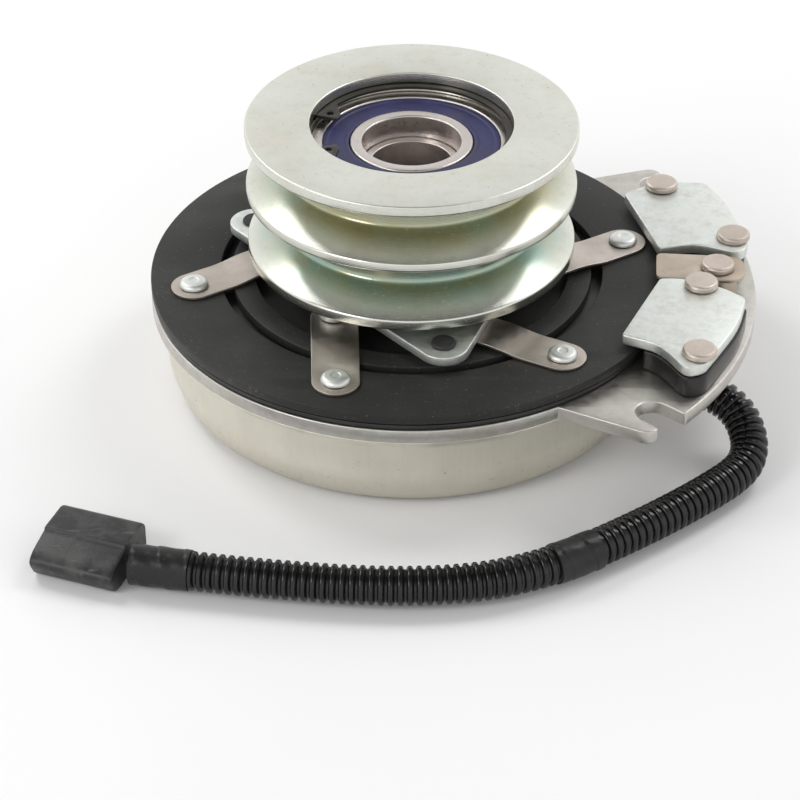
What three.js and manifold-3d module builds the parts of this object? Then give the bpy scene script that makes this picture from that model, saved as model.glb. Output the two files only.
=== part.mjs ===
// Electromagnetic clutch with a two-groove belt pulley, for a vertical engine shaft.
// It stands on its field shell: the origin is on the shaft axis at the shell's base, +Z up.
import * as THREE from 'three';
import { mergeVertices } from 'three/addons/utils/BufferGeometryUtils.js';
import Module from 'manifold-3d';

const wasm = await Module();
wasm.setup();

// Driving dimensions, in millimetres.
const OVERALL_HEIGHT = 104;
const GAP = 0.25;
const SHAFT_BORE = 28.575;
const KEY_WIDTH = 6.35;
const KEY_DEPTH = 1.6;
const HUB_WALL = 3.05;
const BEARING_OUTER = 72;
const BEARING_WIDTH = 17;
const BALL_COUNT = 9;
const PULLEY_HUB_WALL = 9;
const BEARING_DROP = 7.5;
const GROOVE_DEPTH = 14;
const ROOT_WIDTH = 5.5;
const TOP_FLANGE = 3.8;
const UPPER_GROOVE_WIDTH = 18.8;
const MIDDLE_FLANGE = 3;
const LOWER_GROOVE_WIDTH = 19.9;
const BOTTOM_FLANGE = 3.7;
const NECK_HEIGHT = 4.3;
const DRIVE_PLATE_THICKNESS = 3.5;
const LOBE_COUNT = 3;
const LOBE_AZIMUTH = 40.5;
const LOBE_REACH = 2.5;
const LOBE_TIP_RADIUS = 9;
const ARMATURE_REACH = 35.7;
const ARMATURE_THICKNESS = 3.5;
const AIR_GAP = 0.7;
const STRAP_COUNT = 6;
const STRAP_AZIMUTH = 11.2;
const STRAP_SKEW = 21;
const STRAP_WIDTH = 16.6;
const STRAP_THICKNESS = 1;
const STRAP_LENGTH = 38;
const STRAP_DROP = 3;
const RIVET_HEAD_RADIUS = 5.2;
const RIVET_SHANK_RADIUS = 2.4;
const SLOT_WIDTH = 4;
const ROTOR_RIM_THICKNESS = 1.5;
const ROTOR_WEB = 5.8;
const PLATE_THICKNESS = 5.1;
const BRACKET_AZIMUTH = -4.5;
const BRACKET_REACH = 30.8;
const TORQUE_SLOT_WIDTH = 12.2;
const COVER_THICKNESS = 4;
const COVER_TURN = 19.25;
const BRAKE_GAP = 1.8;
const COVER_RIVET_RADIUS = 6;
const FLOOR = 3;
const LOOM_RADIUS = 7;
const TAPE_RADIUS = 7.3;
const LOOM_EXIT_AZIMUTH = -24;
const CONNECTOR = { length: 30, width: 29, height: 13, turn: 160 };
const RING_SEGMENTS = 40;
const SMALL_SEGMENTS = 24;
const RIVET_SEGMENTS = 10;

// Radii that follow from them.
const bearingBoreRadius = SHAFT_BORE / 2 + HUB_WALL + 0.16;
const bearingOuterRadius = BEARING_OUTER / 2;
const bearingSection = bearingOuterRadius - bearingBoreRadius;
const innerRaceRadius = bearingBoreRadius + bearingSection * 0.235;
const outerRaceRadius = bearingOuterRadius - bearingSection * 0.25;
const ballPitchRadius = (bearingBoreRadius + bearingOuterRadius) / 2;
const ballRadius = bearingSection * 0.28;
const rootRadius = bearingOuterRadius + PULLEY_HUB_WALL;
const pulleyRadius = rootRadius + GROOVE_DEPTH;
const neckRadius = rootRadius - 5;
const innerShoulderRadius = bearingOuterRadius - 3.5;
const lobeCentreRadius = pulleyRadius + LOBE_REACH;
const armatureRadius = pulleyRadius + ARMATURE_REACH;
const strapRivetRadius = armatureRadius - 15.1;
const slotOuterRadius = armatureRadius - 25.2;
const armatureBoreRadius = slotOuterRadius - 12.5;
const plateBoreRadius = armatureRadius - 6.7;
const bracketRadius = armatureRadius + BRACKET_REACH;
const rotorShoulderRadius = bearingBoreRadius + 2.5;
const outerPoleRadius = plateBoreRadius - 3;
const seatWall = 2.7;
const innerPoleRadius = bearingOuterRadius + seatWall + 2.3;
const poleWall = 4;

// Heights, from the top face down to the field shell.
const pulleyHeight = TOP_FLANGE + UPPER_GROOVE_WIDTH + MIDDLE_FLANGE + LOWER_GROOVE_WIDTH + BOTTOM_FLANGE;
const pulleyBottom = OVERALL_HEIGHT - pulleyHeight;
const drivePlateTop = pulleyBottom - NECK_HEIGHT;
const drivePlateBottom = drivePlateTop - DRIVE_PLATE_THICKNESS;
const armatureTop = drivePlateBottom - STRAP_DROP;
const armatureBottom = armatureTop - ARMATURE_THICKNESS;
const rotorTop = armatureBottom - AIR_GAP;
const plateTop = rotorTop - ROTOR_RIM_THICKNESS - 0.4;
const plateBottom = plateTop - PLATE_THICKNESS;
const webBottom = rotorTop - ROTOR_WEB;
const coverBottom = armatureTop + BRAKE_GAP;
const coverTop = coverBottom + COVER_THICKNESS;
const upperBearingTop = OVERALL_HEIGHT - BEARING_DROP;
const upperBearingBottom = upperBearingTop - BEARING_WIDTH;
const lowerBearingBottom = 2;
const lowerBearingTop = lowerBearingBottom + BEARING_WIDTH;
const poleBottom = FLOOR + 13;

const rad = THREE.MathUtils.degToRad;
const polar = (radius, degrees) => [radius * Math.cos(rad(degrees)), radius * Math.sin(rad(degrees))];

const finish = {
  zinc: { color: 0xd4d5cb, roughness: 0.35, metalness: 1 },
  nickel: { color: 0xcdc2b8, roughness: 0.35, metalness: 1 },
  steel: { color: 0xb9b4ac, roughness: 0.3, metalness: 1 },
  springSteel: { color: 0xb9afa5, roughness: 0.4, metalness: 1 },
  tanSteel: { color: 0xb5a588, roughness: 0.45, metalness: 1 },
  satinSteel: { color: 0xbeb9af, roughness: 0.45, metalness: 1 },
  blackMetal: { color: 0x3c3c3a, roughness: 0.6, metalness: 0.4 },
  blackPlastic: { color: 0x202022, roughness: 0.5, metalness: 0 },
  greyPlastic: { color: 0x464646, roughness: 0.5, metalness: 0 },
  loomPlastic: { color: 0x151517, roughness: 0.35, metalness: 0 },
  tape: { color: 0x1c1c1e, roughness: 0.55, metalness: 0 },
  rubber: { color: 0x1b1b1b, roughness: 0.8, metalness: 0 },
  blueSeal: { color: 0x3a3c78, roughness: 0.5, metalness: 0 },
  brass: { color: 0xb9a05c, roughness: 0.4, metalness: 1 },
  potting: { color: 0x2a2622, roughness: 0.7, metalness: 0 },
};

// A welded geometry with only positions, turned so that its faces point out.
function welded(geometry) {
  const bare = geometry.clone();
  bare.deleteAttribute('normal');
  bare.deleteAttribute('uv');
  return mergeVertices(bare, 1e-4);
}

function toSolid(geometry) {
  const bare = welded(geometry);
  return new wasm.Manifold(new wasm.Mesh({
    numProp: 3,
    vertProperties: new Float32Array(bare.attributes.position.array),
    triVerts: new Uint32Array(bare.index.array),
  }));
}

function toGeometry(solid) {
  const mesh = solid.getMesh();
  const geometry = new THREE.BufferGeometry();
  geometry.setAttribute('position', new THREE.BufferAttribute(new Float32Array(mesh.vertProperties), 3));
  geometry.setIndex(new THREE.BufferAttribute(new Uint32Array(mesh.triVerts), 1));
  return geometry;
}

function cut(geometry, ...tools) {
  return toGeometry(tools.reduce((solid, tool) => solid.subtract(toSolid(tool)), toSolid(geometry)));
}

function join(geometry, ...others) {
  return toGeometry(others.reduce((solid, other) => solid.add(toSolid(other)), toSolid(geometry)));
}

// A ring or disc turned about Z from a closed outline of [radius, height] corners.
function turned(corners, segments = RING_SEGMENTS) {
  const area = corners.reduce((sum, [r, z], i) => {
    const [nextR, nextZ] = corners[(i + 1) % corners.length];
    return sum + r * nextZ - nextR * z;
  }, 0);
  const ordered = area > 0 ? corners : [...corners].reverse();
  const points = [...ordered, ordered[0]].map(([r, z]) => new THREE.Vector2(r, z));
  return new THREE.LatheGeometry(points, segments).rotateX(Math.PI / 2);
}

// A solid turned about Z whose outline starts at the bottom of the axis and ends at its top.
function turnedSolid(corners, segments = RIVET_SEGMENTS) {
  const points = corners.map(([r, z]) => new THREE.Vector2(r, z));
  return new THREE.LatheGeometry(points, segments).rotateX(Math.PI / 2);
}

function ring(inner, outer, bottom, top, segments = RING_SEGMENTS) {
  return turned([[inner, bottom], [outer, bottom], [outer, top], [inner, top]], segments);
}

function rod(radius, bottom, top, segments = RIVET_SEGMENTS) {
  return new THREE.CylinderGeometry(radius, radius, top - bottom, segments)
    .rotateX(Math.PI / 2).translate(0, 0, (top + bottom) / 2);
}

function slab(shape, bottom, top, curveSegments = 8) {
  return new THREE.ExtrudeGeometry(shape, { depth: top - bottom, bevelEnabled: false, curveSegments })
    .translate(0, 0, bottom);
}

// A closed outline through the corners, each eased by a curve that starts `radius` before it.
function easedShape(corners, radius) {
  const shape = new THREE.Shape();
  corners.forEach(([x, y], i) => {
    const corner = new THREE.Vector2(x, y);
    const before = new THREE.Vector2(...corners.at(i - 1));
    const after = new THREE.Vector2(...corners[(i + 1) % corners.length]);
    const start = before.sub(corner);
    const end = after.sub(corner);
    start.setLength(Math.min(radius, start.length() / 2)).add(corner);
    end.setLength(Math.min(radius, end.length() / 2)).add(corner);
    if (i === 0) shape.moveTo(start.x, start.y);
    else shape.lineTo(start.x, start.y);
    shape.quadraticCurveTo(corner.x, corner.y, end.x, end.y);
  });
  return shape;
}

const clutch = new THREE.Group();

function place(name, geometry, look, { at = [0, 0, 0], turn = 0 } = {}) {
  const shown = welded(geometry);
  shown.computeVertexNormals();
  const mesh = new THREE.Mesh(shown, new THREE.MeshStandardMaterial(finish[look]));
  mesh.name = name;
  mesh.position.set(...at);
  mesh.rotation.z = rad(turn);
  clutch.add(mesh);
  return mesh;
}

// Field: the fixed can, its coil and the plate that keeps it from turning.
function fieldShell() {
  const lipRadius = armatureRadius - 0.5;
  const wallRadius = armatureRadius - 3.9;
  const seatRadius = bearingOuterRadius + 0.15;
  const top = plateBottom - GAP;
  const tubeRadius = bearingOuterRadius + seatWall;
  const grooveBottom = lowerBearingTop + 0.1;
  return turned([
    [lipRadius, top], [lipRadius, top - 1.7], [wallRadius, top - 2.3], [wallRadius - 0.5, 18],
    [wallRadius - 1.9, 9], [wallRadius - 3.4, 5], [wallRadius - 5.8, 2.1], [wallRadius - 9.3, 0.5],
    [wallRadius - 13.8, 0], [seatRadius - 3.2, 0], [seatRadius - 3.2, lowerBearingBottom - 0.2],
    [seatRadius, lowerBearingBottom - 0.2], [seatRadius, grooveBottom], [seatRadius + 1.45, grooveBottom],
    [seatRadius + 1.45, grooveBottom + 1.7], [seatRadius, grooveBottom + 1.7],
    [seatRadius, grooveBottom + 4.5], [tubeRadius, grooveBottom + 4.5], [tubeRadius, FLOOR],
    [wallRadius - 7.8, FLOOR], [wallRadius - 4.6, 6], [wallRadius - 3.4, 14], [wallRadius - 3.2, top],
  ]);
}

function shellWithWireHole() {
  const hole = rod(5.3, 0, 20, 16).rotateY(Math.PI / 2).rotateZ(rad(LOOM_EXIT_AZIMUTH));
  const [x, y] = polar(armatureRadius - 15, LOOM_EXIT_AZIMUTH);
  return cut(fieldShell(), hole.translate(x, y, loomHeight));
}

function bracketOutline() {
  const shape = new THREE.Shape();
  const edge = 44.5;
  shape.moveTo(...polar(armatureRadius - 1, -53.5));
  shape.lineTo(...polar(bracketRadius - 2.5, -46.4));
  shape.absarc(0, 0, bracketRadius, rad(-edge), rad(edge), false);
  shape.lineTo(...polar(bracketRadius - 2.5, 46.4));
  shape.lineTo(...polar(armatureRadius - 1, 53.5));
  return shape;
}

// A slot open at the rim, where a pin on the machine stops the field from turning.
function torqueSlot(side) {
  const [x, y] = polar(bracketRadius - 8.5, side * 40.6);
  const half = TORQUE_SLOT_WIDTH / 2;
  const shape = new THREE.Shape();
  shape.absarc(0, 0, half, Math.PI / 2, -Math.PI / 2, false);
  shape.lineTo(40, -half);
  shape.lineTo(40, half);
  return slab(shape, plateBottom - 1, plateTop + 1, 5).rotateZ(rad(side * 37)).translate(x, y, 0);
}

const coverRivets = [[8.7, 21.7], [22.1, -19.7]];
const covers = [['rear', COVER_TURN], ['front', -COVER_TURN]];
const loomHeight = 21;

function drillsFor(side, radius, bottom, top) {
  return coverRivets.map(([out, along]) => rod(radius, bottom, top)
    .translate(armatureRadius + out, along, 0).rotateZ(rad(side)));
}

function mountingPlate() {
  const disc = rod(armatureRadius, plateBottom, plateTop, RING_SEGMENTS).rotateZ(Math.PI / 2);
  const bracket = slab(bracketOutline(), plateBottom, plateTop, 10);
  const drills = covers.flatMap(([, side]) => drillsFor(side, 3.3, plateBottom - 1, plateTop + 1));
  const strapDrill = rod(3.3, plateBottom - 1, plateTop + 1).translate(armatureRadius + 16.2, 0, 0);
  const bore = rod(plateBoreRadius, plateBottom - 1, plateTop + 1, RING_SEGMENTS).rotateZ(Math.PI / 2);
  return cut(join(disc, bracket), bore, torqueSlot(1), torqueSlot(-1), ...drills, strapDrill);
}

function coverOutline(inset, innermost) {
  const inner = Math.max(-6.4 + inset, innermost);
  const corners = [
    [inner, -19.5 + inset], [inner, 20.5 - inset], [Math.max(1.5, inner + 1.5), 24 - inset],
    [15.5, 24 - inset], [25.9 - inset, 20.5], [29.4 - inset, 4], [28.6 - inset, -14],
    [27.4 - inset, -26 + inset], [20.8, -30.5 + inset], [12.5, -23.5 + inset], [6.5, -19.8 + inset],
  ];
  return easedShape(corners.map(([out, along]) => [armatureRadius + out, along]), 2.5);
}

function brakeCover() {
  const plate = slab(coverOutline(0, -6.4), coverBottom, coverTop, 3);
  return cut(plate, ...drillsFor(0, 3.3, coverBottom - 1, coverTop + 1));
}

function brakeBlock() {
  const bottom = plateTop + GAP;
  const top = coverBottom - GAP;
  const block = slab(coverOutline(0.9, 1.9), bottom, top, 3);
  return cut(block, ...drillsFor(0, 3.3, bottom - 1, top + 1));
}

// A flat-headed rivet whose tail ends flush with the underside of the plate.
function longRivet(headBottom, radius) {
  return turnedSolid([
    [0, plateBottom + 0.2], [3, plateBottom + 0.2], [3, headBottom], [radius, headBottom],
    [radius, headBottom + 1.3], [radius - 0.9, headBottom + 2.1], [0, headBottom + 2.3],
  ], 14);
}

const centreStrapTop = coverTop - 0.6;
const centreStrapThickness = 1.6;

function centreStrap() {
  const half = armatureRadius * 0.0866;
  const shape = easedShape([[-5.9, -half], [26, -half], [26, half], [-5.9, half]]
    .map(([out, along]) => [armatureRadius + out, along]), 3.5);
  const plate = slab(shape, centreStrapTop - centreStrapThickness, centreStrapTop, 3);
  return cut(plate, rod(3.3, centreStrapTop - 5, centreStrapTop + 1).translate(armatureRadius + 16.2, 0, 0));
}

function buildField() {
  place('field_shell', shellWithWireHole(), 'satinSteel');
  const coilOuter = outerPoleRadius - poleWall - 4;
  place('coil', ring(innerPoleRadius + poleWall + 3, coilOuter, FLOOR + GAP, webBottom - 4), 'potting');
  place('mounting_plate', mountingPlate(), 'satinSteel', { turn: BRACKET_AZIMUTH });
  covers.forEach(([side, azimuth]) => {
    const turn = BRACKET_AZIMUTH + azimuth;
    place(`brake_cover_${side}`, brakeCover(), 'zinc', { turn });
    place(`brake_block_${side}`, brakeBlock(), 'blackPlastic', { turn });
    coverRivets.forEach(([out, along], i) => {
      const reach = Math.hypot(armatureRadius + out, along);
      const angle = turn + THREE.MathUtils.radToDeg(Math.atan2(along, armatureRadius + out));
      const at = [...polar(reach, angle), 0];
      place(`cover_rivet_${side}_${i + 1}`, longRivet(coverTop + GAP, COVER_RIVET_RADIUS), 'nickel', { at });
    });
  });
  const strapRivet = [...polar(armatureRadius + 16.2, BRACKET_AZIMUTH), 0];
  place('centre_strap', centreStrap(), 'tanSteel', { turn: BRACKET_AZIMUTH });
  place('centre_strap_rivet', longRivet(centreStrapTop + GAP, COVER_RIVET_RADIUS), 'nickel', { at: strapRivet });
  const bush = ring(3.5, 7.4, plateTop + GAP, centreStrapTop - centreStrapThickness - GAP, 16);
  place('centre_strap_bush', bush, 'steel', { at: strapRivet });
  buildBearing('field_bearing', lowerBearingBottom);
  place('field_snap_ring', snapRing(bearingOuterRadius + 1.2, lowerBearingTop + 0.3), 'blackMetal');
}

// A sealed ball bearing: two rings, the balls in their cage, and two seals.
function bearingRing(inner, outer, bottom, raceRadius, race) {
  const middle = bottom + BEARING_WIDTH / 2;
  const top = bottom + BEARING_WIDTH;
  const half = ballRadius * 0.8;
  const wall = race === 'outer' ? [
    [inner, top], [inner, middle + half], [raceRadius, middle], [inner, middle - half],
  ] : [[inner, top]];
  const outerWall = race === 'inner' ? [
    [outer, middle - half], [raceRadius, middle], [outer, middle + half],
  ] : [];
  return turned([[inner, bottom], [outer, bottom], ...outerWall, [outer, top], ...wall], SMALL_SEGMENTS);
}

function ballsInCage(bottom) {
  const middle = bottom + BEARING_WIDTH / 2;
  const band = ring(ballPitchRadius - 1, ballPitchRadius + 1, middle - 2.5, middle + 2.5, 18);
  const balls = Array.from({ length: BALL_COUNT }, (_, i) => {
    const [x, y] = polar(ballPitchRadius, i * 360 / BALL_COUNT);
    return new THREE.IcosahedronGeometry(ballRadius, 0).translate(x, y, middle);
  });
  return join(band, ...balls);
}

function buildBearing(name, bottom) {
  const middleRace = ballRadius + 0.7;
  const outer = bearingOuterRadius - 0.12;
  const outerRing = bearingRing(outerRaceRadius, outer, bottom, ballPitchRadius + middleRace, 'outer');
  const innerRing = bearingRing(bearingBoreRadius, innerRaceRadius, bottom, ballPitchRadius - middleRace, 'inner');
  place(`${name}_outer_ring`, outerRing, 'steel');
  place(`${name}_inner_ring`, innerRing, 'steel');
  place(`${name}_balls`, ballsInCage(bottom), 'steel');
  [['lower', bottom + 0.5], ['upper', bottom + BEARING_WIDTH - 1.5]].forEach(([side, height]) => {
    const seal = ring(innerRaceRadius + 0.3, outerRaceRadius - 0.4, height, height + 1, SMALL_SEGMENTS);
    place(`${name}_${side}_seal`, seal, 'blueSeal');
  });
}

// An internal snap ring, open between its two drilled ears.
function snapRing(outer, bottom) {
  const thickness = 1.25;
  const inner = outer - 4.2;
  const half = 19;
  const shape = new THREE.Shape();
  shape.absarc(0, 0, outer, rad(-180 + half), rad(180 - half), false);
  shape.lineTo(...polar(inner - 5, 180 - half));
  shape.lineTo(...polar(inner - 5.4, 180 - half - 6));
  shape.lineTo(...polar(inner, 180 - half - 18));
  shape.absarc(0, 0, inner, rad(180 - half - 18), rad(-180 + half + 18), true);
  shape.lineTo(...polar(inner - 5.4, -180 + half + 6));
  shape.lineTo(...polar(inner - 5, -180 + half));
  const ears = [1, -1].map((side) => rod(1.3, bottom - 1, bottom + 3, 10)
    .translate(...polar(inner - 1.6, side * (180 - half - 5)), 0));
  return cut(slab(shape, bottom, bottom + thickness, 9), ...ears);
}

// Rotor: keyed to the shaft, it carries both bearings and the poles around the coil.
function rotor() {
  const bore = SHAFT_BORE / 2;
  const journal = bore + HUB_WALL;
  const rim = armatureRadius - 0.5;
  const body = turned([
    [bore, upperBearingTop - 8.5], [bore, 1], [journal, 1], [journal, lowerBearingTop + 0.2],
    [rotorShoulderRadius, lowerBearingTop + 0.2], [rotorShoulderRadius, webBottom],
    [innerPoleRadius, webBottom], [innerPoleRadius, poleBottom], [innerPoleRadius + poleWall, poleBottom],
    [innerPoleRadius + poleWall, webBottom], [outerPoleRadius - poleWall, webBottom],
    [outerPoleRadius - poleWall, poleBottom], [outerPoleRadius, poleBottom],
    [outerPoleRadius, rotorTop - ROTOR_RIM_THICKNESS], [rim, rotorTop - ROTOR_RIM_THICKNESS],
    [rim, rotorTop], [rotorShoulderRadius, rotorTop], [rotorShoulderRadius, upperBearingBottom - 0.2],
    [journal, upperBearingBottom - 0.2], [journal, upperBearingTop - 8.5],
  ]);
  const keyway = new THREE.BoxGeometry(KEY_DEPTH + 4, KEY_WIDTH, OVERALL_HEIGHT)
    .translate(-(bore + KEY_DEPTH) + (KEY_DEPTH + 4) / 2, 0, OVERALL_HEIGHT / 2);
  return cut(body, keyway);
}

// Pulley: two V grooves outside, the bearing's seat and a snap-ring groove inside.
function pulley() {
  const top = OVERALL_HEIGHT;
  const grooves = [[TOP_FLANGE, UPPER_GROOVE_WIDTH],
    [TOP_FLANGE + UPPER_GROOVE_WIDTH + MIDDLE_FLANGE, LOWER_GROOVE_WIDTH]];
  const wall = grooves.flatMap(([drop, width]) => {
    const middle = top - drop - width / 2;
    return [[pulleyRadius, top - drop], [rootRadius, middle + ROOT_WIDTH / 2],
      [rootRadius, middle - ROOT_WIDTH / 2], [pulleyRadius, top - drop - width]];
  });
  const clip = upperBearingTop + 2;
  return turned([
    [bearingOuterRadius, top], [pulleyRadius - 0.5, top], [pulleyRadius, top - 0.5], ...wall,
    [pulleyRadius, pulleyBottom], [neckRadius, pulleyBottom], [neckRadius, drivePlateTop + 0.2],
    [innerShoulderRadius, drivePlateTop + 0.2], [innerShoulderRadius, upperBearingBottom - 0.2],
    [bearingOuterRadius, upperBearingBottom - 0.2], [bearingOuterRadius, clip],
    [bearingOuterRadius + 2, clip], [bearingOuterRadius + 2, clip + 1.7], [bearingOuterRadius, clip + 1.7],
  ]);
}

const lobeTurns = Array.from({ length: LOBE_COUNT }, (_, i) => LOBE_AZIMUTH + i * 360 / LOBE_COUNT);
const strapTurns = Array.from({ length: STRAP_COUNT }, (_, i) => STRAP_AZIMUTH + i * 360 / STRAP_COUNT);

function strapEnds(azimuth) {
  const [x, y] = polar(strapRivetRadius, azimuth);
  const [dx, dy] = polar(STRAP_LENGTH, azimuth + STRAP_SKEW);
  return { outer: [x, y, 0], inner: [x - dx, y - dy, 0] };
}

// The plate that carries the straps, with three lobes that hold the rubber bumpers.
function drivePlate() {
  const strapEndRadius = Math.hypot(...strapEnds(strapTurns[0]).inner);
  const disc = rod(strapEndRadius - 1, drivePlateBottom, drivePlateTop, RING_SEGMENTS);
  const ears = strapTurns.map((azimuth) => rod(5.4, drivePlateBottom, drivePlateTop, SMALL_SEGMENTS)
    .translate(...strapEnds(azimuth).inner, 0));
  const flankRadius = lobeCentreRadius / 2 + LOBE_TIP_RADIUS;
  const lobes = lobeTurns.map((azimuth) => {
    const shape = new THREE.Shape();
    shape.moveTo(...polar(flankRadius, -60));
    shape.absarc(lobeCentreRadius, 0, LOBE_TIP_RADIUS, rad(-60), rad(60), false);
    shape.lineTo(...polar(flankRadius, 60));
    shape.lineTo(innerShoulderRadius / 2, 0);
    return slab(shape, drivePlateBottom, drivePlateTop, 3).rotateZ(rad(azimuth));
  });
  const bore = rod(innerShoulderRadius + 0.5, drivePlateBottom - 1, drivePlateTop + 1, SMALL_SEGMENTS);
  const sockets = lobeTurns.map((azimuth) => rod(3.8, drivePlateBottom - 1, drivePlateTop + 1)
    .translate(...polar(lobeCentreRadius, azimuth), 0));
  const drills = strapTurns.map((azimuth) => rod(2.8, drivePlateBottom - 1, drivePlateTop + 1)
    .translate(...strapEnds(azimuth).inner));
  return cut(join(disc, ...ears, ...lobes), bore, ...sockets, ...drills);
}

function bumper() {
  return turnedSolid([
    [0, drivePlateBottom - 1.9], [4.2, drivePlateBottom - 1.9], [4.6, drivePlateBottom - GAP],
    [3.4, drivePlateBottom - GAP], [3.4, drivePlateTop + GAP], [4.5, drivePlateTop + GAP],
    [3.9, drivePlateTop + 1.2], [0, drivePlateTop + 1.4],
  ]);
}

const strapInnerTop = drivePlateBottom - GAP;

// A flat spring strap: it steps up from the armature to the underside of the drive plate.
function leafStrap() {
  const low = armatureTop + GAP;
  const high = strapInnerTop - STRAP_THICKNESS;
  const half = STRAP_WIDTH / 2;
  const under = [[-half, low], [11, low], [26, high], [STRAP_LENGTH + half, high]];
  const over = [...under].reverse().map(([along, height]) => [along, height + STRAP_THICKNESS]);
  const side = new THREE.Shape([...under, ...over].map(([along, height]) => new THREE.Vector2(along, height)));
  const bent = new THREE.ExtrudeGeometry(side, { depth: STRAP_WIDTH + 2, bevelEnabled: false })
    .rotateX(Math.PI / 2).translate(0, half + 1, 0);
  const plan = new THREE.Shape();
  plan.absarc(0, 0, half, Math.PI / 2, 3 * Math.PI / 2, false);
  plan.absarc(STRAP_LENGTH, 0, half, -Math.PI / 2, Math.PI / 2, false);
  const outline = slab(plan, low - 1, strapInnerTop + 1, 4);
  const strap = toGeometry(toSolid(bent).intersect(toSolid(outline)));
  const drills = [0, STRAP_LENGTH].map((along) => rod(2.8, low - 2, strapInnerTop + 2).translate(along, 0, 0));
  return cut(strap, ...drills);
}

function innerRivet() {
  const under = strapInnerTop - STRAP_THICKNESS - GAP;
  return turnedSolid([
    [0, under - 1.1], [3.6, under - 1.1], [3.8, under], [RIVET_SHANK_RADIUS, under],
    [RIVET_SHANK_RADIUS, drivePlateTop + GAP], [4.3, drivePlateTop + GAP],
    [3.9, drivePlateTop + 1.5], [0, drivePlateTop + 1.8],
  ]);
}

function outerRivet() {
  const seat = armatureTop + STRAP_THICKNESS + 2 * GAP;
  return turnedSolid([
    [0, armatureBottom + 0.2], [RIVET_SHANK_RADIUS, armatureBottom + 0.2], [RIVET_SHANK_RADIUS, seat],
    [RIVET_HEAD_RADIUS, seat], [RIVET_HEAD_RADIUS - 0.2, seat + 0.7], [RIVET_HEAD_RADIUS - 1.5, seat + 1.6],
    [0, seat + 2.1],
  ]);
}

function buildPulley() {
  place('pulley', pulley(), 'zinc');
  place('drive_plate', drivePlate(), 'zinc');
  lobeTurns.forEach((azimuth, i) => {
    place(`bumper_${i + 1}`, bumper(), 'rubber', { at: [...polar(lobeCentreRadius, azimuth), 0] });
  });
  strapTurns.forEach((azimuth, i) => {
    const { outer, inner } = strapEnds(azimuth);
    place(`leaf_strap_${i + 1}`, leafStrap(), 'springSteel', { at: outer, turn: azimuth + STRAP_SKEW + 180 });
    place(`inner_rivet_${i + 1}`, innerRivet(), 'zinc', { at: inner });
    place(`outer_rivet_${i + 1}`, outerRivet(), 'zinc', { at: outer });
  });
  buildBearing('pulley_bearing', upperBearingBottom);
  place('snap_ring', snapRing(bearingOuterRadius + 1.6, upperBearingTop + 2.2), 'blackMetal');
}

// Armature: the disc that the coil pulls down, with arc slots between its two rings.
function armatureDisc() {
  const bridgeHalf = 4.5;
  const strapCrossing = -3.8;
  const disc = ring(armatureBoreRadius, armatureRadius, armatureBottom, armatureTop);
  const slots = strapTurns.map((azimuth) => {
    const start = azimuth + strapCrossing + bridgeHalf;
    const end = start + 360 / STRAP_COUNT - 2 * bridgeHalf;
    const shape = new THREE.Shape();
    shape.absarc(0, 0, slotOuterRadius, rad(start), rad(end), false);
    shape.absarc(0, 0, slotOuterRadius - SLOT_WIDTH, rad(end), rad(start), true);
    return slab(shape, armatureBottom - 1, armatureTop + 1, 4);
  });
  const drills = strapTurns.map((azimuth) => rod(2.8, armatureBottom - 1, armatureTop + 1)
    .translate(...strapEnds(azimuth).outer));
  return cut(disc, ...slots, ...drills);
}

// The lead: out through a grommet in the shell, in a split loom along the surface to its connector.
const restHeight = 7.4;
const loomRoute = [
  [87.7, -39, 21], [93, -41.4, 21], [98.7, -43.9, 21], [104.5, -46.4, 20.8], [110.5, -49.4, 19.6],
  [115.4, -53.6, 17], [118.4, -59.4, 13.4],
  [118.9, -66, 10.2], [116.6, -72.6, 8.2], [111.8, -78.8, restHeight], [105, -85.6, restHeight],
  [96.5, -93.2, restHeight], [86, -101.8, restHeight], [76, -109.4, restHeight],
  [65.5, -116.9, restHeight], [54, -124.4, restHeight], [42, -130.6, restHeight],
  [28.5, -135.6, restHeight], [14, -138.4, restHeight], [-2, -139.4, restHeight],
  [-20, -138.8, restHeight], [-38, -137, restHeight], [-56, -134.6, restHeight],
  [-74, -131.6, restHeight], [-92.6, -128.2, restHeight],
];
const loomSpread = armatureRadius / 94.7;
const route = new THREE.CatmullRomCurve3(loomRoute.map(([x, y, z]) => new THREE.Vector3(x * loomSpread, y * loomSpread, z)));

class Stretch extends THREE.Curve {
  constructor(from, to) {
    super();
    Object.assign(this, { from, to });
  }

  getPoint(share) {
    return route.getPointAt(this.from + (this.to - this.from) * share);
  }
}

function tube(radius, from, to, steps) {
  const shape = new THREE.Shape();
  shape.absarc(0, 0, radius, 0, 2 * Math.PI, false);
  return new THREE.ExtrudeGeometry(shape, {
    steps, curveSegments: 5, bevelEnabled: false, extrudePath: new Stretch(from, to),
  });
}

function connectorHousing() {
  const { length, width, height } = CONNECTOR;
  const half = width / 2;
  const stepHeight = height - 4;
  const outline = new THREE.Shape([[-half, 0], [half, 0], [half, stepHeight], [2, stepHeight],
    [1, height], [-half, height]].map(([x, y]) => new THREE.Vector2(x, y)));
  const body = new THREE.ExtrudeGeometry(outline, { depth: length, bevelEnabled: false })
    .rotateX(Math.PI / 2).rotateZ(Math.PI / 2);
  const pockets = [-6.5, 6.5].map((along) => new THREE.BoxGeometry(12, 3.4, 3.4)
    .translate(length - 4, along, height / 2 - 2));
  return cut(body, ...pockets);
}

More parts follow.
